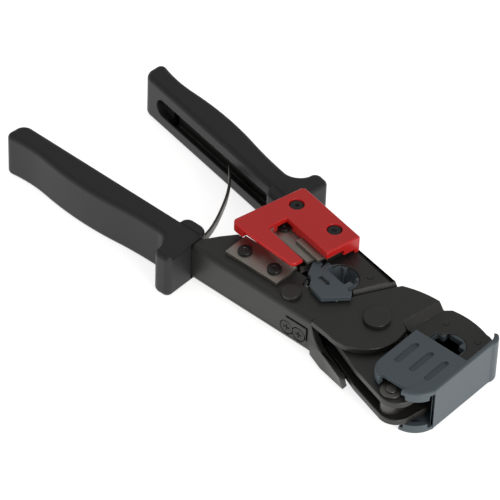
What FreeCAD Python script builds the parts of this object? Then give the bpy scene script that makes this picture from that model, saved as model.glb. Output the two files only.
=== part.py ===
import FreeCAD
import Part
import math
import os
from FreeCAD import Vector

# Dual modular-plug crimping tool: two pressed channel arms on one pivot.
# Millimetres. The pivot axis is the vertical line X = 0, Y = 0. +X points to the jaws and +Z up.
# Z = 0 is the plane that the tool lies on. Shapes are drawn about the tool's middle plane and
# lifted at the end. The moving arm is drawn closed, then swung open about the pivot.

# --- Driving dimensions -----------------------------------------------------------------------
open_angle = 11.0           # swing of the moving arm from closed to fully open, degrees
sheet = 2.5                 # steel sheet of both arms
body_half = 8.0             # half height of the channels
bend_radius = 2.5           # outside bend of the channels
layer_gap = 0.15            # running gap between the two arms' plates at the pivot
rest_half = 9.6             # half height of grips, cap and pivot: what the tool lies on
play = 0.3                  # clearance beside pieces of the other arm
fit = 0.05                  # clearance of a piece seated in its own arm
pin_clearance = 0.06        # radial running clearance on pins

fixed_web_y = -16.0         # outer web face of the fixed arm
fixed_edge_y = -10.8        # open edge of the fixed arm in its handle
fixed_head_edge_y = -0.3    # open edge of the fixed arm under its blade
moving_web_y = 17.5         # outer web face of the moving arm
moving_edge_y = 12.3        # open edge of the moving arm in its handle
moving_head_edge_y = 0.5    # open edge of the moving arm under its blades
fixed_steel_x = -140.0      # rear end of the fixed arm's steel
moving_steel_x = -133.0     # rear end of the moving arm's steel
web_front_x = -16.0         # front end of the fixed arm's full web

hub_radius = 8.5            # moving plates round the pivot
pivot_radius = 3.5
pivot_head_radius = 4.9
pawl_pin_x = -30.0
pawl_pin_y = -10.4
pawl_pin_radius = 1.75
pawl_pin_head_radius = 3.7
pawl_pin_head = 1.5
jaw_pin_x = 27.8
jaw_pin_y = -16.0
jaw_pin_radius = 2.0
jaw_clip_radius = 4.0
jaw_clip_thickness = 0.8

jaw_end_x = 36.2            # front end of the fixed jaw
jaw_edge_y = 5.5            # edge of the fixed jaw that faces the moving jaw
jaw_far_y = 24.2            # far edge of the fixed jaw
moving_jaw_end_x = 35.0
moving_jaw_edge_y = 5.0
moving_jaw_far_y = -20.6

plug_8p_width = 11.9        # opening for the wide plug
plug_8p_x = 23.9
plug_8p_depth = 6.4         # from the jaw's edge to the plug's shoulders
latch_8p_width = 6.6
latch_8p_depth = 2.6
plug_6p_width = 9.9         # opening for the narrow plug
plug_6p_x = -23.6
nest_6p_y = 2.4
nest_6p_radius = 7.0
latch_6p_width = 6.0
plug_6p_seat_y = 6.9        # where the narrow plug's back stops, tool closed
plug_height = 6.6           # contact side to back of both plugs
crimp_press = 0.7           # how far the closed die's blades reach into a plug

grip_length = 87.8
grip_front_fixed_x = -71.3
grip_front_moving_x = -63.5
grip_back = 4.7             # plastic outside the web where the grip is fullest
grip_waist = 2.5            # and where it is thinnest
grip_lip = 0.9              # plastic over the channel's open edge
grip_ear = 3.3              # collar's height over the grip's inner side
grip_slot = 7.5             # height of the slot in the grip's inner face
grip_guard = 12.3           # finger guard's height above the web
grip_rounding = 2.2
grip_end_wall = 15.0        # solid plastic behind the steel
channel_depth = 5.2         # web to open edge in the handles

blade_sheet = 1.5
guard_low = 10.9            # underside of the guard behind its finger
finger_low = 13.5           # underside of the guard's finger
guard_high = 15.2
spring_thickness = 0.9
spring_width = 3.6

# --- Levels worked out from them --------------------------------------------------------------
inner_half = body_half - sheet                  # underside of the high plates
low_top = inner_half - layer_gap                # top of the low plates
low_under = low_top - sheet                     # underside of the low plates
pocket_half = low_under - fit                   # half height of what sits between low plates


# --- Drawing helpers --------------------------------------------------------------------------
def wire(start, *steps):
    """Closed outline. A step is a point for a straight line, or (middle, end) for an arc."""
    edges = []
    here = Vector(start[0], start[1], 0)
    for step in steps + (start,):
        if isinstance(step[0], tuple):
            middle = Vector(step[0][0], step[0][1], 0)
            there = Vector(step[1][0], step[1][1], 0)
            edges.append(Part.Arc(here, middle, there).toShape())
        else:
            there = Vector(step[0], step[1], 0)
            if (there - here).Length > 1e-6:
                edges.append(Part.LineSegment(here, there).toShape())
        here = there
    return Part.Wire(edges)


def slab(low, high, start, *steps):
    """Outline extruded from height low to height high."""
    face = Part.Face(wire(start, *steps))
    solid = face.extrude(Vector(0, 0, high - low))
    solid.translate(Vector(0, 0, low))
    return solid


def block(x0, x1, y0, y1, z0, z1):
    return Part.makeBox(x1 - x0, y1 - y0, z1 - z0, Vector(x0, y0, z0))


def post(x, y, radius, z0, z1):
    return Part.makeCylinder(radius, z1 - z0, Vector(x, y, z0))


def cross_rod(x, y, z, radius, length):
    """Cylinder that runs from y towards +Y."""
    return Part.makeCylinder(radius, length, Vector(x, y, z), Vector(0, 1, 0))


def flipped(shape):
    """Mirror image in the tool's middle plane."""
    return shape.mirror(Vector(0, 0, 0), Vector(0, 0, 1))


def both_sides(shape):
    return [shape, flipped(shape)]


def fused(shapes):
    whole = shapes[0].fuse(shapes[1:])
    return whole.removeSplitter()


def round_long_edges(shape, radius, wanted):
    """Fillet the edges for which wanted(edge) is true."""
    edges = [edge for edge in shape.Edges if wanted(edge)]
    return shape.makeFillet(radius, edges)


def joggle(start, end, half_run, top, drop):
    """Sloping stretch of sheet along a line: high on the line's left side, low on its right."""
    along = Vector(end[0] - start[0], end[1] - start[1], 0)
    length = along.Length
    along.normalize()
    right = Vector(along.y, -along.x, 0)
    base = Vector(start[0], start[1], 0)
    profile = [
        (-half_run, top),
        (half_run, top - drop),
        (half_run, top - drop - sheet),
        (-half_run, top - sheet),
    ]
    corners = [base + right * across + Vector(0, 0, height) for across, height in profile]
    face = Part.Face(Part.makePolygon(corners + [corners[0]]))
    return face.extrude(along * length)


def beside(start, end, distance):
    """The line moved to its right by a distance, as two points."""
    along = Vector(end[0] - start[0], end[1] - start[1], 0)
    along.normalize()
    shift = Vector(along.y, -along.x, 0) * distance
    return (start[0] + shift.x, start[1] + shift.y), (end[0] + shift.x, end[1] + shift.y)


def at_level(start, end, y):
    """Point with the given Y on the line through two points."""
    share = (y - start[1]) / (end[1] - start[1])
    return (start[0] + share * (end[0] - start[0]), y)


# --- The fixed arm ----------------------------------------------------------------------------
lobe_centre = (-3.5, -2.5)
lobe_radius = 15.1
fixed_joggle = ((8.2, jaw_edge_y + 0.1), (11.2, 21.9))
moving_joggle = ((-15.4, 2.1), (-9.9, 18.7))
joggle_run = 1.2
drop = body_half - low_top


def on_lobe(angle):
    turn = math.radians(angle)
    return (
        lobe_centre[0] + lobe_radius * math.cos(turn),
        lobe_centre[1] + lobe_radius * math.sin(turn),
    )


def fixed_high_plate():
    (near, far) = beside(*fixed_joggle, -joggle_run)
    return slab(
        inner_half,
        body_half,
        (fixed_steel_x, fixed_web_y),
        (web_front_x + 1.0, fixed_web_y),
        on_lobe(253.0),
        (on_lobe(315.0), on_lobe(1.0)),
        (10.8, 3.0),
        near,
        far,
        ((3.0, 21.4), (-4.5, 19.1)),
        (-13.0, 4.2),
        (-17.0, -4.2),
        (plug_6p_x - nest_6p_radius, -4.2),
        (plug_6p_x - nest_6p_radius, fixed_head_edge_y),
        (-63.5, fixed_head_edge_y),
        (-67.5, fixed_head_edge_y - 5.1),
        (grip_front_fixed_x + 0.3, fixed_edge_y),
        (fixed_steel_x, fixed_edge_y),
    )


jaw_corner_radius = 5.0
lip_high = -0.6             # upper edge of the fixed arm's lower lip
jaw_corner = (jaw_end_x - jaw_corner_radius, jaw_far_y - 6.7)


def on_jaw_corner(radius, angle):
    turn = math.radians(angle)
    return (jaw_corner[0] + radius * math.cos(turn), jaw_corner[1] + radius * math.sin(turn))


def fixed_jaw_plate():
    (near, far) = beside(*fixed_joggle, joggle_run)
    jaw = slab(
        low_under,
        low_top,
        near,
        (near[0] + 0.1, jaw_edge_y),
        (jaw_end_x, jaw_edge_y),
        on_jaw_corner(jaw_corner_radius, 0),
        (on_jaw_corner(jaw_corner_radius, 45), on_jaw_corner(jaw_corner_radius, 94)),
        ((22.5, jaw_far_y + 0.1), (14.6, jaw_far_y - 0.4)),
        far,
    )
    return jaw.cut(nest_8p_cutout(0.0))


def nest_8p_cutout(inset):
    """Opening in each jaw plate round the wide plug: square shoulders and a round back."""
    half = plug_8p_width / 2 + 0.4 - inset
    shoulder = jaw_edge_y + plug_8p_depth - inset
    square = block(plug_8p_x - half, plug_8p_x + half, jaw_edge_y - 1.0, shoulder, -20, 20)
    back = post(plug_8p_x + 0.9, jaw_edge_y + 4.2, 5.7 - inset, -20, 20)
    return square.fuse(back)


def fixed_frame():
    """Pressed channel with its web on -Y, a lobe over the pivot and a joggled jaw."""
    plate = fixed_high_plate()
    slope = joggle(fixed_joggle[0], fixed_joggle[1], joggle_run, body_half, drop)
    side = fused([plate, slope, fixed_jaw_plate()])
    web = block(fixed_steel_x, web_front_x, fixed_web_y, fixed_web_y + sheet, -body_half, body_half)
    frame = fused([web] + both_sides(side) + [lower_lip(), lip_neck()])
    holes = [
        post(0, 0, pivot_radius + pin_clearance, -20, 20),
        post(pawl_pin_x, pawl_pin_y, pawl_pin_radius + 0.02, -20, 20),
    ]
    holes.append(rivet_hole(spring_rivet_x))
    holes += [web_screw_hole(x) for x in die_screw_xs]
    holes += [post(x, y, nest_pin_radius, -20, 20) for x, y in nest_8p_pin_places]
    holes += [blade_screw_hole(x, y) for x, y in fixed_screw_places]
    holes.append(web_relief())
    return frame.cut(holes + bend_waste(fixed_web_y, 1, fixed_steel_x - 1, web_front_x))


def blade_screw_hole(x, y):
    return post(x, y, blade_screw_radius, inner_half - 1, body_half + 1)


def bend_waste(web_y, inward, back_x, front_x):
    """What the rounded outside bends leave off the square channel; inward is +1 or -1 in Y."""
    axis_y = web_y + inward * bend_radius
    low_y, high_y = sorted((web_y - inward, axis_y))
    level = body_half - bend_radius
    corner = block(back_x, front_x, low_y, high_y, level, body_half + 1)
    place = Vector(back_x - 1, axis_y, level)
    core = Part.makeCylinder(bend_radius, front_x - back_x + 2, place, Vector(1, 0, 0))
    return both_sides(corner.cut(core))


def lower_lip():
    """Lower half of the web carried forward, swung and leaned outwards beside the moving jaw."""
    back_x = web_front_x - 0.5
    bend_x = web_front_x + 7.0
    tip_x = web_front_x + 19.6
    levels = []
    for z, bend_y, tip_y in ((-body_half, 2.9, 5.4), (lip_high, 2.6, 7.6)):
        outer = [(back_x, 0.0), (bend_x, -bend_y), (tip_x, -tip_y)]
        inner = [(x, y + sheet + fit) for x, y in reversed(outer)]
        corners = [Vector(x, fixed_web_y + y, z) for x, y in outer + inner]
        levels.append(Part.makePolygon(corners + [corners[0]]))
    return Part.makeLoft(levels, True, True)


def lip_neck():
    """Curved shoulder between the web's front end and the lower lip."""
    back_x = web_front_x - 0.5
    bend_x = web_front_x + 7.0
    levels = []
    for z, bend_y in ((lip_high - 0.3, 2.6), (body_half - bend_radius, 0.9)):
        outer = [(back_x, 0.0), (bend_x, -bend_y)]
        inner = [(x, y + sheet + fit) for x, y in reversed(outer)]
        corners = [Vector(x, fixed_web_y + y, z) for x, y in outer + inner]
        levels.append(Part.makePolygon(corners + [corners[0]]))
    neck = Part.makeLoft(levels, True, True)
    radius = body_half - bend_radius - lip_high + 1.5
    hollow_z = body_half - bend_radius + 1.6
    hollow = cross_rod(web_front_x + radius, fixed_web_y - 9, hollow_z, radius, 20)
    return neck.cut(hollow)


def web_relief():
    """Slot cut in the web above the two screws, turning down at its front end."""
    run = block(-27.5, -17.4, fixed_web_y - 1, fixed_web_y + sheet + 1, 2.6, 3.4)
    turn = block(-18.2, -17.4, fixed_web_y - 1, fixed_web_y + sheet + 1, -3.0, 3.4)
    return run.fuse(turn)


def web_screw_hole(x):
    radius = die_screw_radius + 0.05
    hole = cross_rod(x, fixed_web_y - 1, die_screw_z, radius, 3 * sheet)
    sink = cross_rod(x, fixed_web_y - 0.1, die_screw_z, die_screw_head_radius + play, 1.2)
    return hole.fuse(sink)


def rivet_hole(x):
    return cross_rod(x, fixed_web_y - 1, 0, spring_rivet_radius, sheet + 2)


# --- The moving arm ---------------------------------------------------------------------------
def moving_high_plate():
    (near, far) = beside(*moving_joggle, -joggle_run)
    plate = slab(
        inner_half,
        body_half,
        (moving_steel_x, moving_web_y),
        at_level(near, far, moving_web_y),
        near,
        (-17.6, moving_head_edge_y),
        (-58.5, moving_head_edge_y),
        (-61.6, moving_head_edge_y + 6.0),
        (grip_front_moving_x + 0.3, moving_edge_y),
        (moving_steel_x, moving_edge_y),
    )
    return plate.cut(post(plug_6p_x, nest_6p_y, nest_6p_radius, -20, 20))


def moving_jaw_plate():
    (near, far) = beside(*moving_joggle, joggle_run)
    end = moving_jaw_end_x
    outer = moving_jaw_far_y
    plate = slab(
        low_under,
        low_top,
        near,
        (-14.4, -1.0),
        ((-12.8, -10.0), (-8.0, -15.4)),
        (2.0, -17.2),
        (12.0, -19.2),
        (jaw_pin_x - 1.0, outer),
        ((end - 1.7, outer + 2.2), (end, outer + 7.6)),
        (end, moving_jaw_edge_y),
        (math.sqrt(hub_radius ** 2 - moving_jaw_edge_y ** 2), moving_jaw_edge_y),
        (
            (hub_radius * math.cos(math.radians(55)), hub_radius * math.sin(math.radians(55))),
            (hub_radius * math.cos(math.radians(80)), hub_radius * math.sin(math.radians(80))),
        ),
        (-3.0, 16.0),
        (-6.0, moving_web_y),
        at_level(near, far, moving_web_y),
    )
    return plate.cut(block(plug_8p_x - 6.6, plug_8p_x + 6.6, 2.6, 9.0, -20, 20))


def moving_arm():
    """The other channel, its web on +Y, joggled down to pass under the fixed arm's lobe."""
    slope = joggle(moving_joggle[0], moving_joggle[1], joggle_run, body_half, drop)
    trim = block(-40, 40, -40, moving_web_y, -20, 20)
    side = fused([moving_high_plate(), slope.common(trim), moving_jaw_plate().common(trim)])
    front = beside(*moving_joggle, -joggle_run)[1][0] - 0.6
    web = block(moving_steel_x, front, moving_web_y - sheet, moving_web_y, -body_half, body_half)
    arm = fused([web] + both_sides(side))
    holes = [
        post(0, 0, pivot_radius + pin_clearance, -20, 20),
        post(jaw_pin_x, jaw_pin_y, jaw_pin_radius, -20, 20),
    ]
    holes += [post(x, y, nest_pin_radius, -20, 20) for x, y in nest_6p_pin_places]
    holes += [post(x, y, rivet_radius, -20, 20) for x, y in sector_rivet_places]
    holes += [blade_screw_hole(x, y) for x, y in guard_screw_places]
    return arm.cut(holes + bend_waste(moving_web_y, -1, moving_steel_x - 1, front))


# --- Grips ------------------------------------------------------------------------------------
def grip():
    """Moulded grip. X runs back from its front end and Y outwards from the web's outer face."""
    inner = -channel_depth - grip_lip
    rear = -grip_length
    ear = inner - grip_ear
    outline = slab(
        -rest_half,
        rest_half,
        (0.0, inner + 1.5),
        ((-0.5, inner + 0.4), (-1.5, inner)),
        (rear + 5.0, inner),
        ((rear + 1.5, inner + 1.4), (rear + 0.3, inner + 4.6)),
        (rear, grip_waist - 1.8),
        ((rear + 0.8, grip_waist), (rear + 3.0, grip_waist + 0.6)),
        ((rear + 11.0, grip_waist), (rear + 20.0, grip_waist + 0.7)),
        ((rear + 37.0, grip_back), (rear + 56.0, grip_back - 0.9)),
        ((rear + 64.0, grip_waist + 0.7), (-14.6, grip_waist + 0.5)),
        ((-10.0, grip_waist + 2.0), (-7.6, grip_guard - 3.6)),
        ((-6.4, grip_guard - 0.6), (-4.2, grip_guard)),
        (-2.6, grip_guard),
        ((-0.8, grip_guard - 0.7), (0.0, grip_guard - 2.4)),
    )
    collar = slab(
        -rest_half,
        rest_half,
        (0.0, -channel_depth),
        (0.0, inner + 0.6),
        ((-1.2, ear + 1.2), (-4.6, ear)),
        (-7.6, ear),
        ((-9.8, ear + 0.9), (-10.8, ear + 3.2)),
        (-10.8, -channel_depth),
    )

    def long_edge(edge):
        level = all(abs(abs(v.Point.z) - rest_half) < 1e-4 for v in edge.Vertexes)
        front = all(abs(v.Point.x) < 1e-4 for v in edge.Vertexes)
        return level and not front

    def collar_edge(edge):
        return long_edge(edge) and edge.BoundBox.YMax < -channel_depth - 0.1

    body = round_long_edges(outline, grip_rounding, long_edge)
    body = fused([body, round_long_edges(collar, 1.6, collar_edge)])
    steel_room = block(
        rear + grip_end_wall,
        1.0,
        -channel_depth - fit,
        fit,
        -body_half - fit,
        body_half + fit,
    )
    half_slot = grip_slot / 2
    slot_end = rear + 9.0 + half_slot
    inner_slot = block(slot_end, 1.0, ear - 1.0, -sheet, -half_slot, half_slot)
    round_end = cross_rod(slot_end, ear - 1.0, 0, half_slot, 1.0 - ear - sheet)
    return body.cut([steel_room, inner_slot, round_end])


def fixed_grip():
    shape = grip().mirror(Vector(0, 0, 0), Vector(0, 1, 0))
    shape.translate(Vector(grip_front_fixed_x, fixed_web_y, 0))
    return shape


def moving_grip():
    shape = grip()
    shape.translate(Vector(grip_front_moving_x, moving_web_y, 0))
    return shape


# --- Nests and dies ---------------------------------------------------------------------------
nest_pin_radius = 1.0
nest_8p_front = 9.6         # front end of the wide nest, from the plug's middle
nest_8p_pin_places = [(17.0, 17.1), (30.9, 17.4)]
nest_6p_pin_places = [(-33.6, 8.6), (-17.8, 11.4)]
die_screw_xs = (-27.0, -21.5)
die_screw_z = -2.2
die_screw_radius = 1.2
die_screw_head_radius = 2.65


def plug_8p_space():
    """Room for the wide plug and its latch, right through the nest."""
    back = jaw_edge_y + plug_8p_depth - 0.4
    half = plug_8p_width / 2
    body = block(plug_8p_x - half, plug_8p_x + half, jaw_edge_y - 3, back, -20, 20)
    latch = block(
        plug_8p_x - latch_8p_width / 2,
        plug_8p_x + latch_8p_width / 2,
        back - 1,
        back + latch_8p_depth,
        -20,
        20,
    )
    return body.fuse(latch)


def plug_nest_8p():
    """Plastic block between the fixed jaw's plates, with a rim that fills their openings."""
    x0, x1 = plug_8p_x - 9.3, plug_8p_x + nest_8p_front
    inner = block(x0, x1, jaw_edge_y, jaw_far_y - 5.6, -pocket_half, pocket_half)
    rim = nest_8p_cutout(fit).common(
        block(0, 60, jaw_edge_y + 0.1, 60, -low_top + 0.3, low_top - 0.3)
    )
    holes = [post(x, y, nest_pin_radius, -20, 20) for x, y in nest_8p_pin_places]
    return fused([inner, rim]).cut([plug_8p_space()] + holes)


def nest_8p_pins():
    return [post(x, y, nest_pin_radius - 0.02, -low_top, low_top) for x, y in nest_8p_pin_places]


def crimp_die_8p():
    """Steel block in the moving jaw that carries the contact blades on the jaw pin."""
    tip = die_8p_tip
    die = block(plug_8p_x - 5.6, plug_8p_x + 5.6, -13.4, tip - 2.2, -pocket_half, pocket_half)
    shank = slab(
        -pocket_half,
        pocket_half,
        (jaw_pin_x - 3.6, -13.6),
        (jaw_pin_x - 3.6, jaw_pin_y),
        ((jaw_pin_x, jaw_pin_y - 3.6), (jaw_pin_x + 3.6, jaw_pin_y)),
        (jaw_pin_x + 3.6, -12.0),
        (jaw_pin_x - 3.6, -12.0),
    )
    bar = block(plug_8p_x - 2.6, plug_8p_x + 2.6, tip - 3.0, tip, -pocket_half, -pocket_half + 1.2)
    slots = [blade_slot(plug_8p_x, index, 8, tip - 8.0, tip - 2.1) for index in range(8)]
    hole = post(jaw_pin_x, jaw_pin_y, jaw_pin_radius, -20, 20)
    return fused([die, shank, bar]).cut(slots + [hole])


die_8p_tip = jaw_edge_y + plug_8p_depth - 0.4 - plug_height + crimp_press
die_6p_tip = plug_6p_seat_y - plug_height + crimp_press
contact_pitch = 1.02
contact_thickness = 0.5
contact_low = -0.6          # underside of the contact blades
contact_height = pocket_half + 0.2


def blade_slot(centre_x, index, count, low_y, high_y):
    x = centre_x + (index - (count - 1) / 2) * contact_pitch
    half = contact_thickness / 2
    return block(x - half, x + half, low_y, high_y, contact_low, contact_low + contact_height)


def contact_blades(centre_x, count, low_y, high_y):
    half = contact_thickness / 2 - 0.01
    blades = []
    for index in range(count):
        x = centre_x + (index - (count - 1) / 2) * contact_pitch
        z = contact_low + 0.01
        blades.append(block(x - half, x + half, low_y, high_y, z, z + contact_height - 0.02))
    return blades


def die_8p_contact_blades():
    return contact_blades(plug_8p_x, 8, die_8p_tip - 7.99, die_8p_tip)


def plug_nest_6p():
    """Plastic nest between the moving plates with a rim in their openings and a cover lip."""
    ring_half = body_half - 0.4
    level = inner_half - fit
    web_inner = moving_web_y - sheet
    inner = block(
        plug_6p_x - 8.0, plug_6p_x + 6.4, moving_head_edge_y, web_inner - 0.2, -level, level
    )
    ear = block(plug_6p_x - 11.6, plug_6p_x - 7.0, 6.0, 11.2, -level, level)
    rim = post(plug_6p_x, nest_6p_y, nest_6p_radius - fit, -ring_half, ring_half)
    rim = rim.common(block(-60, 0, moving_head_edge_y - 1.2, 60, -20, 20))
    lip = slab(
        body_half + play,
        lip_top,
        (-33.9, -1.2),
        (-31.2, -5.2),
        ((-29.6, -7.0), (-27.4, -8.2)),
        (-24.0, -10.0),
        (-18.0, -10.4),
        (-12.3, -1.6),
        (-14.2, 0.4),
        (-15.2, -0.5),
        (-18.0, 1.0),
        (-20.0, 1.4),
        (-27.2, 1.4),
        (-28.4, 0.2),
        (-30.2, -0.9),
        (-31.0, 0.6),
        ((-32.0, 1.0), (-32.8, 0.4)),
    )
    lip = lip.cut(post(pawl_pin_x, pawl_pin_y, pawl_pin_head_radius + play, -20, 20))
    bore = post(plug_6p_x, nest_6p_y, nest_6p_radius - fit, 0, lip_top)
    bridge = bore.common(block(-60, 0, moving_head_edge_y - 1.2, nest_6p_y + 0.6, 0, lip_top))
    half = plug_6p_width / 2
    seat = plug_6p_seat_y
    contact_side = seat - plug_height
    solid = fused([inner, ear, rim, bridge, lip])
    window = block(-26.4, -22.4, -4.8, -3.2, body_half, 20)
    window = fused([window] + [post(x, -4.0, 0.8, body_half, 20) for x in (-26.4, -22.4)])
    plug = block(plug_6p_x - half, plug_6p_x + half, contact_side, seat, -20, 20)
    die_half = 6.7
    die_room = block(
        plug_6p_x - die_half, plug_6p_x + die_half, -9.0, moving_head_edge_y, -inner_half, inner_half
    )
    latch_half = latch_6p_width / 2
    latch = block(plug_6p_x - latch_half, plug_6p_x + latch_half, seat - 1, seat + 2.0, -20, 20)
    holes = [post(x, y, nest_pin_radius, -20, 20) for x, y in nest_6p_pin_places]
    return solid.cut([window, plug, die_room, latch] + holes)


lip_top = 10.2


def nest_6p_pins():
    return [post(x, y, nest_pin_radius - 0.02, -body_half, body_half) for x, y in nest_6p_pin_places]


def crimp_die_6p():
    """Steel block behind the fixed web that carries the narrow plug's contact blades."""
    half = inner_half - fit
    web_inner = fixed_web_y + sheet
    tip = die_6p_tip
    die = block(plug_6p_x - 5.9, plug_6p_x + 5.9, web_inner, tip - 1.5, -half, half)
    bar = block(plug_6p_x - 2.6, plug_6p_x + 2.6, tip - 2.0, tip, -half, -half + 1.2)
    slots = [blade_slot(plug_6p_x, index, 6, tip - 6.0, tip - 1.4) for index in range(6)]
    taps = [
        cross_rod(x, web_inner - 0.1, die_screw_z, die_screw_radius + 0.02, 5.2)
        for x in die_screw_xs
    ]
    pin_room = post(pawl_pin_x, pawl_pin_y, pawl_pin_radius + fit, -20, 20)
    pawl_room = post(pawl_pin_x, pawl_pin_y, pawl_hub_radius + play, ratchet_low - play, 20)
    return fused([die, bar]).cut(slots + taps + [pin_room, pawl_room])


def die_6p_contact_blades():
    return contact_blades(plug_6p_x, 6, die_6p_tip - 5.99, die_6p_tip)


def die_6p_screws():
    """Two recessed cross-head screws that hold the die to the web."""
    screws = []
    for x in die_screw_xs:
        shank = cross_rod(x, fixed_web_y + 0.9, die_screw_z, die_screw_radius, 5.6)
        head = cross_rod(x, fixed_web_y + 0.1, die_screw_z, die_screw_head_radius, 1.0)
        near, deep = fixed_web_y, fixed_web_y + 0.7
        cross = [
            block(x - long, x + long, near, deep, die_screw_z - wide, die_screw_z + wide)
            for long, wide in ((1.4, 0.25), (0.25, 1.4))
        ]
        screws.append(fused([head, shank]).cut(cross))
    return screws


# --- The cap on the fixed jaw -----------------------------------------------------------------
cap_front_x = 37.6
cap_back_x = 13.6
cap_top_edge_y = 4.3
cap_near_y = -22.0
cap_far_y = 21.0
cap_skin = 2.0
cap_rounding = 0.9
clip_room_x0 = 19.4         # notch that clears the moving jaw's pin and clips
clip_room_x1 = 30.6


def cap_outline(low, high, inset):
    near = cap_near_y + inset
    front = cap_front_x - inset
    back = cap_back_x + inset
    return slab(
        low,
        high,
        (back, cap_top_edge_y),
        (back, near + 7.0 - inset),
        ((back + 1.8, near + 2.4), (back + 6.0, near)),
        (front - 8.5, near),
        ((front - 2.6, near + 3.0), (front, near + 9.0 - inset)),
        (front, cap_top_edge_y),
    )


def jaw_cap():
    """Plastic cap clipped on the fixed jaw's end: two leaves over the moving jaw and a front wall."""

    def leaf_edge(edge):
        box = edge.BoundBox
        return box.ZMin > rest_half - 1e-4 and box.YMin < cap_top_edge_y - 0.1

    def wall_edge(edge):
        box = edge.BoundBox
        level = abs(abs(edge.CenterOfMass.z) - rest_half) < 1e-4
        return level and box.XMax > cap_front_x - 1e-4 and edge.Length > cap_skin

    leaf = round_long_edges(
        cap_outline(rest_half - cap_skin, rest_half, 0.0), cap_rounding, leaf_edge
    )
    rim = cap_outline(low_top + play, rest_half - cap_rounding, 0.0)
    rim = rim.cut(cap_outline(0, 20, 1.5)).cut(block(0, 60, -16.0, 30, 0, 20))
    clip_room = block(clip_room_x0, clip_room_x1, -30, -14.0, 0, 20)
    leaf_notch = block(clip_room_x0, clip_room_x1 - 1.6, -30, cap_near_y + 2.2, 0, 20)
    leaf = leaf.cut([leaf_notch] + [groove(x) for x in (18.6, 25.1, 31.6)])
    rim = rim.cut(clip_room)
    wall_x = jaw_end_x + fit
    wall_near = cap_near_y + 8.0
    wall = slab(
        -rest_half,
        rest_half,
        (wall_x, wall_near),
        (cap_front_x, wall_near),
        (cap_front_x, jaw_corner[1] - 1.0),
        (on_jaw_corner(jaw_corner_radius + 2.0, 20), on_jaw_corner(jaw_corner_radius + 1.6, 43)),
        on_jaw_corner(jaw_corner_radius + fit, 47),
        (on_jaw_corner(jaw_corner_radius + fit, 25), (wall_x, jaw_corner[1])),
    )
    wall = round_long_edges(wall, cap_rounding, wall_edge)
    tongue_x = plug_8p_x + nest_8p_front + fit
    tongue = block(
        tongue_x, wall_x + 0.5, jaw_edge_y + 3.0, jaw_corner[1], -pocket_half, pocket_half
    )
    return fused(both_sides(leaf) + both_sides(rim) + [wall, tongue])


def groove(x):
    """Obround finger groove in the cap's leaf."""
    floor = rest_half - 0.9
    half = 1.25
    run = block(x - half, x + half, -11.2, -1.8, floor, 20)
    ends = [post(x, y, half, floor, 20) for y in (-11.2, -1.8)]
    return run.fuse(ends)


# --- Pins, screws, blades ---------------------------------------------------------------------
spring_rivet_x = -82.0
spring_rivet_radius = 1.2
blade_screw_radius = 1.25
fixed_screw_places = [(-54.8, -6.5), (-41.2, -6.5)]
guard_screw_places = [(-56.5, 9.0), (-38.5, 11.7)]
rivet_radius = 1.5
sector_rivet_places = [(-48.4, 12.0), (-42.8, 12.0)]


def pivot_pin():
    head = post(0, 0, pivot_head_radius, body_half, rest_half)
    head = round_top(head, 0.5, rest_half)
    shank = post(0, 0, pivot_radius, -body_half - 0.9, body_half)
    return fused([head, shank])


def round_top(shape, radius, level):
    rims = [edge for edge in shape.Edges if abs(edge.BoundBox.ZMin - level) < 1e-4]
    return shape.makeFillet(radius, rims)


def pivot_clip():
    """Flat retaining head on the pivot's lower end."""
    cup = post(0, 0, pivot_head_radius, -rest_half, -body_half)
    return cup.cut(post(0, 0, pivot_radius + 0.02, -body_half - 0.9, 0))


def pawl_pin():
    shank = post(pawl_pin_x, pawl_pin_y, pawl_pin_radius, -body_half - 0.8, body_half)
    top = post(pawl_pin_x, pawl_pin_y, pawl_pin_head_radius, body_half, body_half + pawl_pin_head)
    top = round_top(top, 0.4, body_half + pawl_pin_head)
    low = post(pawl_pin_x, pawl_pin_y, pawl_pin_radius + 0.9, -body_half - 1.2, -body_half)
    return fused([shank, top, low])


def jaw_pin():
    return post(jaw_pin_x, jaw_pin_y, jaw_pin_radius - 0.02, -low_top - 1.4, low_top + 1.4)


def jaw_pin_clips():
    """Flat retaining ring on each end of the jaw pin."""
    disc = post(jaw_pin_x, jaw_pin_y, jaw_clip_radius, low_top, low_top + jaw_clip_thickness)
    disc = disc.cut(post(jaw_pin_x, jaw_pin_y, jaw_pin_radius, 0, 20))
    return both_sides(disc)


def fixed_blade():
    outline = slab(
        body_half,
        body_half + blade_sheet,
        (-60.0, -11.0),
        (-36.2, -11.0),
        (-36.2, fixed_head_edge_y + 0.1),
        (-60.0, fixed_head_edge_y + 0.1),
    )
    holes = [post(x, y, blade_screw_radius + 0.05, 0, 20) for x, y in fixed_screw_places]
    return outline.cut(holes)


def button_screw(x, y, seat, radius, height):
    head = post(x, y, radius, seat, seat + height)
    head = round_top(head, 0.45, seat + height)
    shank = post(x, y, blade_screw_radius - 0.02, inner_half, seat)
    socket = post(x, y, 0.8, seat + height - 0.7, seat + height + 1)
    return fused([head, shank]).cut(socket)


def fixed_blade_screws():
    seat = body_half + blade_sheet
    return [button_screw(x, y, seat, 2.65, 1.1) for x, y in fixed_screw_places]


spacer_top = 9.6
cutter_top = spacer_top + 1.2
stripper_low = cutter_top
stripper_top = 12.0


def blade_spacer():
    plate = block(-61.0, -32.5, 3.6, 14.4, body_half, spacer_top)
    return plate.cut([post(x, y, blade_screw_radius + 0.05, 0, 20) for x, y in guard_screw_places])


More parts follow.
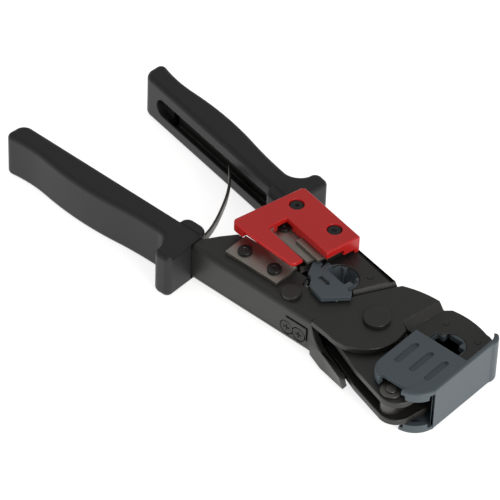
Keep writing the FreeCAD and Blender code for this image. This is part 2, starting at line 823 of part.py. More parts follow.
def cutter_blade():
    """Long blade whose edge slides over the fixed blade's edge."""
    blade = slab(
        spacer_top,
        cutter_top,
        (-61.0, -3.6),
        (-34.4, -3.6),
        (-34.4, 10.0),
        (-61.0, 10.0),
    )
    bevel = Part.makeBox(40, 2.0, 2.0, Vector(-67, -5.6, cutter_top - 0.25))
    bevel.rotate(Vector(-67, -3.6, cutter_top - 0.25), Vector(1, 0, 0), 18)
    blade = blade.cut(bevel)
    places = guard_screw_places + [cutter_screw_place]
    return blade.cut([post(x, y, blade_screw_radius + 0.05, 0, 20) for x, y in places])


cutter_screw_place = (-52.6, 0.6)


def cutter_blade_screw():
    x, y = cutter_screw_place
    head = round_top(post(x, y, 1.9, cutter_top, cutter_top + 0.8), 0.3, cutter_top + 0.8)
    shank = post(x, y, blade_screw_radius, spacer_top, cutter_top)
    return fused([head, shank]).cut(post(x, y, 0.6, cutter_top + 0.3, 20))


def stripper_blade():
    """Short bevelled blade that stands over the cutter at the slot's open end."""
    plate = block(-44.5, -32.0, -0.7, 9.4, stripper_low, stripper_top)
    cut = Part.makeBox(20, 3, 3, Vector(-48, -3.7, stripper_top - 0.2))
    cut.rotate(Vector(-48, -0.7, stripper_top - 0.2), Vector(1, 0, 0), 35)
    plate = plate.cut(cut)
    return plate.cut([post(x, y, blade_screw_radius + 0.05, 0, 20) for x, y in guard_screw_places])


def blade_guard():
    """Guard: a body over the blades' backs and a finger in front of their edges."""
    outline = slab(
        body_half,
        guard_high,
        (-63.4, -13.2),
        ((-62.7, -14.1), (-61.0, -14.5)),
        (-55.0, -14.2),
        (-35.2, -11.6),
        ((-33.4, -11.0), (-32.8, -9.8)),
        (-32.9, -6.6),
        (-52.9, -6.4),
        (-53.1, 1.9),
        (-30.4, 1.9),
        (-30.4, 16.8),
        (-61.3, 16.8),
        (-62.4, 15.6),
    )

    def top_edge(edge):
        return all(abs(v.Point.z - guard_high) < 1e-4 for v in edge.Vertexes)

    guard = round_long_edges(outline, 0.8, top_edge)
    room = [
        block(-61.2, -30.0, 1.0, 14.6, 0, spacer_top + 0.02),
        block(-61.2, -32.8, -20, 10.2, 0, guard_low),
        block(-57.5, -30.0, -20, -3.7, 0, finger_low),
        block(-55.4, -50.0, -2.2, 3.4, 0, cutter_top + 2.0),
        block(-44.7, -29.0, -5.0, 9.6, 0, stripper_top + 0.02),
        block(-66.0, -61.0, -20.0, 3.0, 0, guard_low),
        block(-66.0, grip_front_moving_x + 0.6, 2.0, 20.0, 0, rest_half + play),
    ]
    sinks = [post(x, y, 2.75, guard_high - 2.2, 20) for x, y in guard_screw_places]
    holes = [post(x, y, blade_screw_radius + 0.05, 0, 20) for x, y in guard_screw_places]
    return guard.cut(room + sinks + holes)


def blade_guard_screws():
    seat = guard_high - 2.2
    return [button_screw(x, y, seat, 2.6, 1.7) for x, y in guard_screw_places]


# --- Springs and ratchet ----------------------------------------------------------------------
def leaf_spring():
    """Two tangent arcs of flat strip from the fixed grip to the moving grip's slot."""
    half = spring_thickness / 2
    web = fixed_web_y + sheet
    end_x = -84.3
    rise = (-76.2, -6.0)
    bend = (-78.7, 5.0)
    tip = (-94.6, 30.6)
    low_middle = (-77.0, -0.6)
    high_middle = (-85.1, 18.4)
    foot = slab(
        -spring_width / 2,
        spring_width / 2,
        (end_x, web),
        (-78.0, web),
        ((-76.2, web + 1.4), (rise[0] + half, rise[1])),
        ((low_middle[0] + half, low_middle[1]), (bend[0] + half, bend[1])),
        ((high_middle[0] + half, high_middle[1]), (tip[0] + half, tip[1])),
        (tip[0] - half, tip[1] - 0.3),
        ((high_middle[0] - half, high_middle[1] - 0.5), (bend[0] - half, bend[1] - 0.2)),
        ((low_middle[0] - half, low_middle[1]), (rise[0] - half, rise[1])),
        ((-77.0, web + 2.0), (-78.4, web + spring_thickness)),
        (end_x, web + spring_thickness),
    )
    return foot.cut(cross_rod(spring_rivet_x, web - 1, 0, spring_rivet_radius, 4))


def leaf_spring_rivet():
    radius = spring_rivet_radius - 0.02
    shank = cross_rod(spring_rivet_x, fixed_web_y, 0, radius, sheet + 1.2)
    head = cross_rod(spring_rivet_x, fixed_web_y + sheet + spring_thickness, 0, 1.9, 0.8)
    return fused([shank, head])


sector_radius = 40.0        # root circle of the teeth about the pivot
tooth_height = 1.2
ratchet_low = 0.4           # the sector and the pawl lie in one layer above the die's screws
ratchet_high = 3.4
pawl_hub_radius = pawl_pin_y - fixed_web_y - sheet - 0.4


def around(radius, angle):
    """Point at a radius from the pivot, angle measured from -X towards -Y."""
    turn = math.radians(180 + angle)
    return (radius * math.cos(turn), radius * math.sin(turn))


def ratchet_sector():
    """Toothed plate that reaches from the moving arm down into the fixed channel."""
    tooth_angle = 1.6
    first = 4.0
    count = 8
    tip = sector_radius - tooth_height
    edge = []
    for index in range(count):
        angle = first + index * tooth_angle
        edge.append(around(tip, angle))
        edge.append(around(sector_radius, angle + 0.2))
    last = first + count * tooth_angle
    back = sector_radius + 5.0
    web_inner = moving_web_y - sheet - fit
    sector = slab(
        ratchet_low,
        ratchet_high,
        (-38.0, web_inner),
        (-38.0, 6.0),
        around(sector_radius, first - 1.0),
        *edge,
        around(sector_radius, last),
        around(back, last - 0.6),
        (-50.5, 6.0),
        (-50.5, web_inner),
    )
    holes = [post(x, y, rivet_radius, -20, 20) for x, y in sector_rivet_places]
    sector = sector.cut(holes)
    return sector


def ratchet_rivets():
    """Two shouldered rivets that hold the sector midway between the moving plates."""
    rivets = []
    for x, y in sector_rivet_places:
        shank = post(x, y, rivet_radius - 0.02, -body_half, body_half)
        upper = post(x, y, rivet_radius + 0.8, ratchet_high, inner_half)
        lower = post(x, y, rivet_radius + 0.8, -inner_half, ratchet_low)
        rivets.append(fused([shank, upper, lower]))
    return rivets


def ratchet_pawl():
    """Two-armed pawl on its pin, its nose just clear of the sector's teeth."""
    hub = post(pawl_pin_x, pawl_pin_y, pawl_hub_radius, ratchet_low, ratchet_high)
    nose_x = -sector_radius + tooth_height + 1.9
    arm = slab(
        ratchet_low,
        ratchet_high,
        (pawl_pin_x - 1.0, pawl_pin_y - 2.3),
        (nose_x + 0.6, pawl_pin_y - 0.9),
        (nose_x, pawl_pin_y + 0.2),
        (nose_x + 1.2, pawl_pin_y + 1.3),
        (pawl_pin_x - 1.0, pawl_pin_y + 2.3),
    )
    hole = post(pawl_pin_x, pawl_pin_y, pawl_pin_radius + pin_clearance, -20, 20)
    return fused([hub, arm]).cut(hole)


def pawl_spring():
    """Two close turns of a small torsion coil round the pawl's pin, above the pawl."""
    wire_radius = 0.28
    turn_radius = pawl_pin_radius + fit + wire_radius
    low = ratchet_high + 0.3 + wire_radius
    place = Vector(pawl_pin_x, pawl_pin_y, 0)
    turns = [
        Part.makeTorus(turn_radius, wire_radius, place + Vector(0, 0, low + turn * 1.8 * wire_radius))
        for turn in range(2)
    ]
    return fused(turns)


# --- Assembly ---------------------------------------------------------------------------------
fixed_pieces = {
    "fixed_frame": fixed_frame,
    "fixed_grip": fixed_grip,
    "plug_nest_8p": plug_nest_8p,
    "nest_8p_pins": nest_8p_pins,
    "jaw_cap": jaw_cap,
    "crimp_die_6p": crimp_die_6p,
    "die_6p_contact_blades": die_6p_contact_blades,
    "die_6p_screws": die_6p_screws,
    "fixed_blade": fixed_blade,
    "fixed_blade_screws": fixed_blade_screws,
    "pivot_pin": pivot_pin,
    "pivot_clip": pivot_clip,
    "pawl_pin": pawl_pin,
    "leaf_spring": leaf_spring,
    "leaf_spring_rivet": leaf_spring_rivet,
    "ratchet_pawl": ratchet_pawl,
    "pawl_spring": pawl_spring,
}
moving_pieces = {
    "moving_arm": moving_arm,
    "moving_grip": moving_grip,
    "plug_nest_6p": plug_nest_6p,
    "nest_6p_pins": nest_6p_pins,
    "crimp_die_8p": crimp_die_8p,
    "die_8p_contact_blades": die_8p_contact_blades,
    "jaw_pin": jaw_pin,
    "jaw_pin_clips": jaw_pin_clips,
    "blade_spacer": blade_spacer,
    "cutter_blade": cutter_blade,
    "cutter_blade_screw": cutter_blade_screw,
    "stripper_blade": stripper_blade,
    "blade_guard": blade_guard,
    "blade_guard_screws": blade_guard_screws,
    "ratchet_sector": ratchet_sector,
    "ratchet_rivets": ratchet_rivets,
}


def export(name, shape, opened):
    """Write one node, lifted to the resting plane, and print its solids."""
    solids = shape if isinstance(shape, list) else shape.Solids
    whole = Part.makeCompound([solid.copy() for solid in solids])
    if opened:
        whole.rotate(Vector(0, 0, 0), Vector(0, 0, 1), -open_angle)
    whole.translate(Vector(0, 0, rest_half))
    box = whole.BoundBox
    size = (round(box.XLength, 1), round(box.YLength, 1), round(box.ZLength, 1))
    print(name, "solids", len(whole.Solids), "valid", whole.isValid(), "size", size)
    if len(whole.Solids) == 1:
        whole = whole.Solids[0]
    whole.exportStep("parts/" + name + ".step")


os.makedirs("parts", exist_ok=True)
for name, build in fixed_pieces.items():
    export(name, build(), False)
for name, build in moving_pieces.items():
    export(name, build(), True)
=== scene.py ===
import math

import bmesh
import bpy
import numpy as np
from mathutils import Matrix, Vector
from mathutils.bvhtree import BVHTree


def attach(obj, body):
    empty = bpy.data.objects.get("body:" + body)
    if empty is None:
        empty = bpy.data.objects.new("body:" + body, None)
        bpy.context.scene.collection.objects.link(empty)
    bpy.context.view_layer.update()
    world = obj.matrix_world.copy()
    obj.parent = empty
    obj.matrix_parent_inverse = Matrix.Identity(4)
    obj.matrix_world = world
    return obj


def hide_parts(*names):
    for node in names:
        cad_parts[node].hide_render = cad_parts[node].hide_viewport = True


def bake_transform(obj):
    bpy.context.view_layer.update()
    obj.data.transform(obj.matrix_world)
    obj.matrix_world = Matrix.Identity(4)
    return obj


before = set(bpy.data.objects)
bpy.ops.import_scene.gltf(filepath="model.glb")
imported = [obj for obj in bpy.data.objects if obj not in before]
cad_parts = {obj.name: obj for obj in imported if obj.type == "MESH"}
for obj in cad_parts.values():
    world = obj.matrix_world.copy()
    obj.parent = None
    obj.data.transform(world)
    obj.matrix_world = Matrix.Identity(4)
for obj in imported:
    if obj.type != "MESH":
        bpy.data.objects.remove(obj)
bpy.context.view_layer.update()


# --- The studio -------------------------------------------------------------------------------
# The tool lies flat on a white light table: a translucent sheet that glows a little from below.
# One large soft box hangs overhead, a second stands low in front of the jaws, and a weak third
# stands at the side.
scene = bpy.context.scene
scene.view_settings.view_transform = "Standard"
mm = 0.001

azimuth, elevation, roll = np.radians([39.873, 43.154, 2.229])
back = np.array([
    math.sin(azimuth) * math.cos(elevation),
    -math.cos(azimuth) * math.cos(elevation),
    math.sin(elevation),
])
level = np.array([math.cos(azimuth), math.sin(azimuth), 0.0])
upright = np.cross(back, level)
right = math.cos(roll) * level + math.sin(roll) * upright
up = -math.sin(roll) * level + math.cos(roll) * upright
looked_at = np.array([-60.48, 2.965, 9.6]) * mm
stand_off = 1338.9 * mm

camera = bpy.data.objects.new("camera", bpy.data.cameras.new("camera"))
camera.data.lens = 272.8
camera.data.sensor_width = 36.0
camera.data.clip_start, camera.data.clip_end = 0.1, 20.0
turned = np.stack([right, up, back], 1)
place = looked_at + stand_off * back
camera.matrix_world = Matrix([[*row, at] for row, at in zip(turned, place)] + [[0, 0, 0, 1]])
scene.collection.objects.link(camera)
scene.camera = camera

soft_boxes = [
    # name, place, size, power in watts, colour
    ("overhead_box", (-0.25, 0.30, 1.10), 0.9, 0.6, (1.0, 1.0, 1.0)),
    ("front_box", (1.05, -0.30, 0.42), 0.6, 5.6, (1.0, 0.95, 0.90)),
    ("side_box", (-0.45, -1.05, 0.55), 0.7, 0.5, (0.97, 0.98, 1.0)),
]
for name, spot, size, power, colour in soft_boxes:
    lamp = bpy.data.lights.new(name, "AREA")
    lamp.shape, lamp.size, lamp.energy, lamp.color = "SQUARE", size, power, colour
    box = bpy.data.objects.new(name, lamp)
    aim = (Vector(looked_at) - Vector(spot)).to_track_quat("-Z", "Y")
    box.matrix_world = Matrix.Translation(spot) @ aim.to_matrix().to_4x4()
    scene.collection.objects.link(box)

room_grey = (0.40, 0.40, 0.40, 1)
scene.world = bpy.data.worlds.new("studio")
scene.world.use_nodes = True
room = scene.world.node_tree.nodes["Background"]
room.inputs["Color"].default_value = room_grey
room.inputs["Strength"].default_value = 1.0

table_half = 3.0
table_top = -0.02 * mm
table_corners = ((-1, -1), (1, -1), (1, 1), (-1, 1))
table = bpy.data.meshes.new("light_table")
table.from_pydata(
    [(x * table_half, y * table_half, table_top) for x, y in table_corners], [], [(0, 1, 2, 3)]
)
floor = bpy.data.objects.new("light_table", table)
scene.collection.objects.link(floor)


class Link:
    """A shader socket, or, with no socket, a whole node tree. Sums, differences and products
    with links or numbers add Math nodes, and add() adds any other node."""

    def __init__(self, tree, socket=None):
        self.tree, self.socket = tree, socket

    def add(self, kind, settings, inputs, output=0):
        """Adds one node: its settings first (a ramp's stops too), then its sockets' values or
        links. Gives the output of that number or name."""
        made = self.tree.nodes.new(kind)
        for key, value in settings.items():
            if key == "stops":
                for stop, (position, grey) in zip(made.color_ramp.elements, value):
                    stop.position, stop.color = position, (grey, grey, grey, 1)
            else:
                setattr(made, key, value)
        for key, value in inputs.items():
            if isinstance(value, Link):
                self.tree.links.new(value.socket, made.inputs[key])
            else:
                made.inputs[key].default_value = value
        return Link(self.tree, made.outputs[output])

    def maths(self, operation, first, second):
        return self.add("ShaderNodeMath", {"operation": operation}, {0: first, 1: second})

    def __add__(self, other):
        return self.maths("ADD", self, other)

    def __mul__(self, other):
        return self.maths("MULTIPLY", self, other)

    def __sub__(self, other):
        return self.maths("SUBTRACT", self, other)

    def __rsub__(self, other):
        return self.maths("SUBTRACT", other, self)

    __radd__, __rmul__ = __add__, __mul__


def new_material(name, constants):
    """A material with its shader's constant sockets set, and its node tree as a Link."""
    material = bpy.data.materials.new(name)
    material.use_nodes = True
    for key, value in constants.items():
        material.node_tree.nodes["Principled BSDF"].inputs[key].default_value = value
    return material, Link(material.node_tree)


def feed(graph, **links):
    """Links the shader's sockets that vary: keys are their names with _ for a space."""
    shader = graph.tree.nodes["Principled BSDF"]
    for key, link in links.items():
        graph.tree.links.new(link.socket, shader.inputs[key.replace("_", " ")])


def mixed(factor, first, second):
    """Colour that goes from first to second as factor goes from 0 to 1."""
    return factor.add("ShaderNodeMix", {"data_type": "RGBA"}, {0: factor, 6: first, 7: second}, 2)


def noise(graph, scale, detail=2.0, stretch=(1.0, 1.0, 1.0), roughness=0.5):
    """Noise from 0 to 1 on Object coordinates, scale in features per metre."""
    place = graph.add("ShaderNodeTexCoord", {}, {}, "Object")
    place = graph.add("ShaderNodeMapping", {}, {"Vector": place, "Scale": stretch})
    values = {"Vector": place, "Scale": scale, "Detail": detail, "Roughness": roughness}
    return graph.add("ShaderNodeTexNoise", {}, values, "Fac")


table_white, graph = new_material("table_white", {
    "Roughness": 0.55,
    "Specular IOR Level": 0.3,
    "Emission Color": (1, 1, 1, 1),
    "Emission Strength": 0.72,
})
cloud = noise(graph, 6.0)
feed(graph, Base_Color=mixed(cloud, (0.86, 0.86, 0.86, 1), (0.9, 0.9, 0.9, 1)))
floor.data.materials.append(table_white)


# --- The two pressed arms ---------------------------------------------------------------------
# Channel-shaped arms of 2.5 mm steel sheet, blanked, bent and joggled in a press, then blackened.
# Blanking leaves a small rounded edge, where the thin black finish rubs through to bare steel.
# The paler colour on these edges is partly that bare steel and partly a painted highlight.
same_point = 0.5e-6
flat_angle = math.radians(0.4)
edge_angle = math.radians(40)
large_face_weight = 80


def softened(cad, name, width, body, material, segments=2):
    """New piece from a copy of a CAD node: its doubles merged, its flat triangles joined, and its
    edges rounded by a bevel of the given width. Its attribute "rim" is 1 on the rounded edges."""
    shape = bmesh.new()
    shape.from_mesh(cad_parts[cad].data)
    bmesh.ops.remove_doubles(shape, verts=shape.verts, dist=same_point)
    bmesh.ops.dissolve_limit(
        shape, angle_limit=flat_angle, verts=shape.verts, edges=shape.edges
    )
    mesh = bpy.data.meshes.new(name)
    shape.to_mesh(mesh)
    shape.free()
    piece = bpy.data.objects.new(name, mesh)
    scene.collection.objects.link(piece)
    for polygon in mesh.polygons:
        polygon.use_smooth = True
    mesh.set_sharp_from_angle(angle=edge_angle)

    bevel = piece.modifiers.new("edges", "BEVEL")
    bevel.width, bevel.segments = width, segments
    bevel.limit_method, bevel.angle_limit = "ANGLE", edge_angle
    bevel.use_clamp_overlap = False
    bevel.miter_outer = "MITER_ARC"
    # Two empty material slots: the bevel gives its faces the second, which rim_attribute reads.
    for _ in range(2):
        mesh.materials.append(None)
    bevel.material = 1
    weighted = piece.modifiers.new("flat_faces", "WEIGHTED_NORMAL")
    weighted.mode, weighted.weight, weighted.keep_sharp = "FACE_AREA", large_face_weight, True
    evaluated = piece.evaluated_get(bpy.context.evaluated_depsgraph_get())
    ready = bpy.data.meshes.new_from_object(evaluated)

    keep_near(ready, mesh, reach=0.5 * width)
    piece.modifiers.clear()
    piece.data = ready
    ready.name = name
    rim_attribute(ready)
    ready.materials.clear()
    ready.materials.append(material)
    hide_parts(cad)
    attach(piece, body)


def points_of(mesh):
    """The mesh's points as rows of x, y and z."""
    points = np.zeros(len(mesh.vertices) * 3)
    mesh.vertices.foreach_get("co", points)
    return points.reshape(-1, 3)


def keep_near(mesh, sharp, reach):
    """Puts every point of mesh that lies further than reach from the sharp mesh back on it, at
    the nearest point: a bevel can throw a point out where several edges meet at a small angle.
    Then keeps all points inside the sharp mesh's box."""
    shape = bmesh.new()
    shape.from_mesh(sharp)
    tree = BVHTree.FromBMesh(shape)
    shape.free()
    for vertex in mesh.vertices:
        nearest, _, _, distance = tree.find_nearest(vertex.co)
        if distance > reach:
            vertex.co = nearest
    corners = points_of(sharp)
    inside = np.clip(points_of(mesh), corners.min(0), corners.max(0))
    mesh.vertices.foreach_set("co", inside.ravel())


def rim_attribute(mesh):
    """Writes the face attribute "rim": 1 on the faces that the bevel made, 0 on the others."""
    made = np.zeros(len(mesh.polygons), np.int32)
    mesh.polygons.foreach_get("material_index", made)
    rim = mesh.attributes.new("rim", "FLOAT", "FACE")
    rim.data.foreach_set("value", made.astype(np.float32))
    mesh.polygons.foreach_set("material_index", made * 0)


def ramp(value, low, high):
    """Value stretched so that low becomes 0 and high becomes 1."""
    return value.add("ShaderNodeValToRGB", {"stops": [(low, 0), (high, 1)]}, {0: value})


def bump(height, strength, distance):
    """Normal tilted by the slope of height, which 1 raises by distance."""
    values = {"Height": height, "Strength": strength, "Distance": distance}
    return height.add("ShaderNodeBump", {}, values)


def rim_mask(graph):
    """1 on the rounded edges of a softened piece, and 0 elsewhere."""
    return graph.add("ShaderNodeAttribute", {"attribute_name": "rim"}, {}, "Fac")


def blackened(name, dark, light, metallic, roughness, wear_and_highlight_colour, wear_and_highlight):
    """Thin black finish on steel: cloudy tone, fine grain, and on some of the rims a paler colour
    that is partly bare steel and partly a painted highlight.
    """
    material, graph = new_material(name, {"IOR": 1.6})
    cloud = noise(graph, 45.0, detail=3.0)
    grain = noise(graph, 2600.0, detail=3.0)
    rub = ramp(noise(graph, 260.0, detail=4.0, roughness=0.65), 0.42, 0.66)
    # Rims in rubbed patches get a paler colour: partly worn bare steel, partly a painted highlight
    # along the edges.
    bare_and_highlight = rim_mask(graph) * rub * wear_and_highlight
    tone = mixed(cloud, (*dark, 1), (*light, 1))
    feed(
        graph,
        Base_Color=mixed(bare_and_highlight, tone, (*wear_and_highlight_colour, 1)),
        Metallic=bare_and_highlight * (1 - metallic) + metallic,
        Roughness=cloud * 0.10 + grain * 0.06 + (roughness - 0.08) - bare_and_highlight * 0.08,
        Normal=bump(grain + cloud * 0.6, 0.28, 0.05 * mm),
    )
    return material


black_steel = blackened(
    "black_steel",
    dark=(0.020, 0.020, 0.0185),
    light=(0.031, 0.031, 0.029),
    metallic=0.35,
    roughness=0.42,
    # Paler rim colour: partly worn bare steel, partly a painted highlight.
    wear_and_highlight_colour=(0.16, 0.155, 0.145),
    wear_and_highlight=0.4,
)
for cad, body in (("fixed_frame", "fixed_arm_body"), ("moving_arm", "moving_arm_body")):
    softened(cad, cad + "_pressing", 0.28 * mm, body, black_steel)


# --- Grips ------------------------------------------------------------------------------------
# Matt black plastic mouldings pushed on the channels, with a finger guard at the front.
# The mould was spark-eroded, which leaves a fine even grain on every face.
def moulded(name, dark, light, roughness, grain_scale, grain_depth, coat=0.0, rim_light=0.0):
    """Moulded plastic: faint cloudiness, spark-eroded grain, slightly polished rims, and a painted
    highlight on the rims where they are scuffed.
    """
    material, graph = new_material(
        name, {"IOR": 1.44, "Coat Roughness": 0.25, "Coat Weight": coat}
    )
    cloud = noise(graph, 30.0, detail=3.0)
    grain = noise(graph, grain_scale, roughness=0.6)
    rim = rim_mask(graph)
    scratches = noise(graph, 420.0, detail=4.0, stretch=(1.0, 0.35, 1.0), roughness=0.7)
    scuff = ramp(scratches, 0.60, 0.72)
    tone = mixed(cloud * 0.8 + scuff * 0.12, (*dark, 1), (*light, 1))
    # Paler colour for the scuffed rims: a painted highlight, its strength set by rim_light.
    rim_highlight_colour = tuple(min(1.0, channel * 1.6 + 0.02) for channel in light)
    feed(
        graph,
        Base_Color=mixed(rim * scuff * rim_light, tone, (*rim_highlight_colour, 1)),
        Roughness=cloud * 0.08 + grain * 0.05 + (roughness - 0.06) - rim * 0.05,
        Normal=bump(grain, 0.35, grain_depth),
    )
    return material


black_grip = moulded(
    "black_grip",
    dark=(0.012, 0.012, 0.0125),
    light=(0.018, 0.018, 0.0185),
    roughness=0.50,
    grain_scale=1900.0,
    grain_depth=0.05 * mm,
)
for cad, body in (("fixed_grip", "fixed_arm_body"), ("moving_grip", "moving_arm_body")):
    softened(cad, cad + "_moulding", 0.35 * mm, body, black_grip, segments=3)


# --- Nests and jaw cap ------------------------------------------------------------------------
# Grey-blue plastic mouldings with a satin face: the two plug nests, pinned in their cut-outs,
# and the cap round the jaw's end.
blue_grey = moulded(
    "blue_grey_plastic",
    dark=(0.068, 0.088, 0.103),
    light=(0.083, 0.105, 0.120),
    roughness=0.40,
    grain_scale=1500.0,
    grain_depth=0.03 * mm,
    rim_light=0.5,
)
for cad, body in (
    ("jaw_cap", "fixed_arm_body"),
    ("plug_nest_8p", "fixed_arm_body"),
    ("plug_nest_6p", "moving_arm_body"),
):
    softened(cad, cad + "_moulding", 0.16 * mm, body, blue_grey)


# --- Blade guard ------------------------------------------------------------------------------
# Glossier red plastic over the cutter and the stripper, moulded in one with its finger, and held
# by two screws sunk in its face.
red_plastic = moulded(
    "red_plastic",
    dark=(0.57, 0.014, 0.013),
    light=(0.67, 0.020, 0.018),
    roughness=0.36,
    grain_scale=1200.0,
    grain_depth=0.015 * mm,
    coat=0.15,
    rim_light=0.25,
)
softened(
    "blade_guard",
    "blade_guard_moulding",
    0.35 * mm,
    "moving_arm_body",
    red_plastic,
    segments=3,
)


# --- Blades -----------------------------------------------------------------------------------
# Ground tool steel: the plate on the fixed arm, and the cutter and the stripper in the guard.
# Fine parallel grinding lines run along them, with a faint oil stain.
def ground(name, tone, stain, roughness, line_scale, stretch):
    """Ground steel: long thin grinding lines in tone and relief, and cloudy stains."""
    material, graph = new_material(name, {})
    lines = noise(graph, line_scale, detail=3.0, stretch=stretch, roughness=0.6)
    soiled = ramp(noise(graph, 130.0, detail=3.0), 0.45, 0.72)
    feed(
        graph,
        Base_Color=mixed(soiled * 0.6 + lines * 0.35, (*tone, 1), (*stain, 1)),
        Metallic=1 - soiled * 0.25,
        Roughness=lines * 0.14 + soiled * 0.12 + (roughness - 0.1),
        Normal=bump(lines, 0.25, 0.02 * mm),
    )
    return material


blade_steel = ground(
    "blade_steel",
    tone=(0.36, 0.335, 0.30),
    stain=(0.23, 0.21, 0.185),
    roughness=0.40,
    line_scale=1500.0,
    stretch=(0.06, 1.0, 1.0),
)
for cad, rounding, body in (
    ("fixed_blade", 0.10 * mm, "fixed_arm_body"),
    ("cutter_blade", 0.06 * mm, "moving_arm_body"),
    ("stripper_blade", 0.06 * mm, "moving_arm_body"),
):
    softened(cad, cad + "_finished", rounding, body, blade_steel)


# --- Pivot and black pins ---------------------------------------------------------------------
# Turned steel, blackened like the arms, its rims paler where partly rubbed bare and partly a
# painted highlight:
# the pivot with its clip, the pawl's pin and the nests' small pins.
def repainted(cads, material):
    """Gives the material to CAD nodes that stay as they are, which are small or hidden."""
    for cad in cads:
        for material_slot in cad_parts[cad].material_slots:
            material_slot.material = material


black_pin = blackened(
    "black_steel_pin",
    dark=(0.026, 0.026, 0.024),
    light=(0.042, 0.042, 0.039),
    metallic=0.5,
    roughness=0.36,
    wear_and_highlight_colour=(0.30, 0.29, 0.27),
    wear_and_highlight=0.7,
)
for cad, rounding in (("pivot_pin", 0.20 * mm), ("pivot_clip", 0.20 * mm), ("pawl_pin", 0.18 * mm)):
    softened(cad, cad + "_finished", rounding, "fixed_arm_body", black_pin)
repainted(("nest_8p_pins", "nest_6p_pins"), black_pin)


# --- Jaw pin ----------------------------------------------------------------------------------
# Bare turned steel pin that holds the wide die in the moving jaw, with a retaining clip at each
# end.
bare_steel = ground(
    "bare_steel",
    tone=(0.17, 0.165, 0.15),
    stain=(0.10, 0.095, 0.085),
    roughness=0.36,
    line_scale=1100.0,
    stretch=(1.0, 1.0, 0.2),
)
for cad, rounding in (("jaw_pin", 0.20 * mm), ("jaw_pin_clips", 0.15 * mm)):
    softened(cad, cad + "_finished", rounding, "moving_arm_body", bare_steel)


# --- Blade spacer -----------------------------------------------------------------------------
# Blackened steel packing plate that lies under the cutter and the stripper on the moving arm,
# and sets their height.
softened(
    "blade_spacer",
    "blade_spacer_finished",
    0.10 * mm,
    "moving_arm_body",
    black_pin,
)


# --- Screws -----------------------------------------------------------------------------------
# Blackened steel screws with lightly rounded rims, whose paler colour is partly worn steel and
# partly a painted highlight.
# They hold the fixed blade, the cutter, the guard and the narrow die.
black_screw = blackened(
    "black_screw",
    dark=(0.018, 0.018, 0.018),
    light=(0.030, 0.030, 0.030),
    metallic=0.6,
    roughness=0.30,
    wear_and_highlight_colour=(0.32, 0.31, 0.30),
    wear_and_highlight=0.6,
)
for cad, rounding, body in (
    ("fixed_blade_screws", 0.12 * mm, "fixed_arm_body"),
    ("cutter_blade_screw", 0.10 * mm, "moving_arm_body"),
    ("blade_guard_screws", 0.12 * mm, "moving_arm_body"),
    ("die_6p_screws", 0.08 * mm, "fixed_arm_body"),
):
    softened(cad, cad + "_finished", rounding, body, black_screw)


# --- Dies -------------------------------------------------------------------------------------
# Dark hardened steel blocks inside the channels, ground on their faces, each with a row of
# contact blades that press the plug's contacts down.
die_steel = ground(
    "die_steel",
    tone=(0.12, 0.118, 0.11),
    stain=(0.07, 0.068, 0.064),
    roughness=0.42,
    line_scale=1300.0,
    stretch=(0.1, 1.0, 1.0),
)
for cad, body in (("crimp_die_6p", "fixed_arm_body"), ("crimp_die_8p", "moving_arm_body")):
    softened(cad, cad + "_finished", 0.10 * mm, body, die_steel)
repainted(("die_6p_contact_blades", "die_8p_contact_blades"), die_steel)


# --- Ratchet ----------------------------------------------------------------------------------
# Toothed sector riveted to the moving arm, and the pawl that rides over it on the second pin.
# A small spring returns the pawl.
spring_steel = ground(
    "spring_steel",
    tone=(0.10, 0.092, 0.08),
    stain=(0.06, 0.055, 0.048),
    roughness=0.34,
    line_scale=900.0,
    stretch=(1.0, 1.0, 0.1),
)
repainted(("ratchet_sector", "ratchet_rivets", "ratchet_pawl"), bare_steel)
repainted(("pawl_spring",), spring_steel)


# --- Leaf spring ------------------------------------------------------------------------------
# A strip of blued spring steel, 3.6 mm wide and 0.9 mm thick, riveted in the fixed channel.
# It bows out through the collar's slot and its free end slides in the moving channel.
strip_half_width = 1.8 * mm
strip_half_thickness = 0.45 * mm
strip_height = 9.6 * mm
strip_steps, strip_sides = 90, 16
corner_power = 0.35
strip_edge_angle = math.radians(50)
strip_route = np.array([
    (-84.3, -13.05), (-81.0, -13.05), (-78.2, -12.9), (-76.6, -10.8), (-76.2, -6.0),
    (-76.8, -0.8), (-78.4, 4.4), (-80.9, 10.3), (-84.6, 17.6), (-89.2, 24.4), (-94.4, 30.2),
])


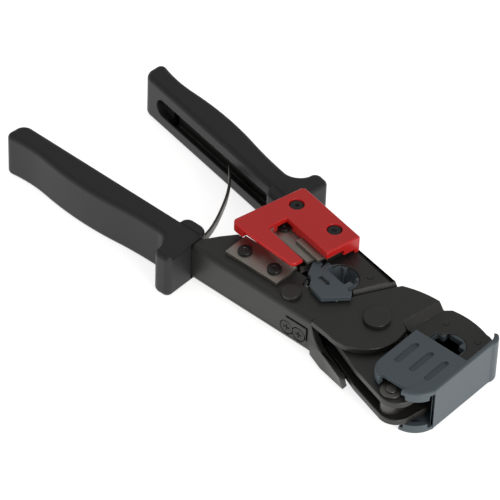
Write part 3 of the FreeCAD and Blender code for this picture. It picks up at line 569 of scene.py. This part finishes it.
def swept_strip(name, route, steps, sides):
    """Rounded-edge strip along a smooth line. The line is a Catmull-Rom curve through the route:
    each span is the cubic whose end slopes are half the chord of its neighbours. The section is
    a superellipse of the strip's half width (Z) and half thickness (across the line)."""
    ends = np.vstack([2 * route[0] - route[1], route, 2 * route[-1] - route[-2]])
    share = np.linspace(0, len(route) - 1, steps)
    span = np.minimum(share.astype(int), len(route) - 2)
    t = (share - span)[:, None]
    a, b, c, d = (ends[span + k] for k in range(4))
    bend = (2 * a - 5 * b + 4 * c - d) * t**2
    line = 0.5 * (2 * b + (c - a) * t + bend + (3 * b - a - 3 * c + d) * t**3)
    slope = np.gradient(line, axis=0)
    slope /= np.linalg.norm(slope, axis=1)[:, None]
    across = np.stack([-slope[:, 1], slope[:, 0]], 1)

    turn = np.linspace(0, 2 * math.pi, sides, endpoint=False)
    cosine, sine = np.cos(turn), np.sin(turn)
    flat = np.sign(cosine) * np.abs(cosine) ** corner_power * strip_half_thickness
    high = np.sign(sine) * np.abs(sine) ** corner_power * strip_half_width
    xy = line[:, None, :] * mm + across[:, None, :] * flat[None, :, None]
    z = np.broadcast_to(high[None, :, None] + strip_height, (steps, sides, 1))
    points = np.concatenate([xy, z], 2).reshape(-1, 3)

    ring, side = np.meshgrid(np.arange(steps - 1), np.arange(sides), indexing="ij")
    here, after = ring * sides, (side + 1) % sides
    corners = [here + side, here + after, here + sides + after, here + sides + side]
    faces = np.stack(corners, -1).reshape(-1, 4)
    caps = [list(range(sides))[::-1], list(range((steps - 1) * sides, steps * sides))]
    mesh = bpy.data.meshes.new(name)
    mesh.from_pydata(points.tolist(), [], faces.tolist() + caps)
    for polygon in mesh.polygons:
        polygon.use_smooth = True
    mesh.set_sharp_from_angle(angle=strip_edge_angle)
    outward = bmesh.new()
    outward.from_mesh(mesh)
    bmesh.ops.recalc_face_normals(outward, faces=outward.faces)
    outward.to_mesh(mesh)
    outward.free()
    piece = bpy.data.objects.new(name, mesh)
    scene.collection.objects.link(piece)
    return piece


repainted(("leaf_spring_rivet",), bare_steel)
strip = swept_strip("leaf_spring_strip", strip_route, strip_steps, strip_sides)
strip.data.materials.append(spring_steel)
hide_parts("leaf_spring")
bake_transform(strip)
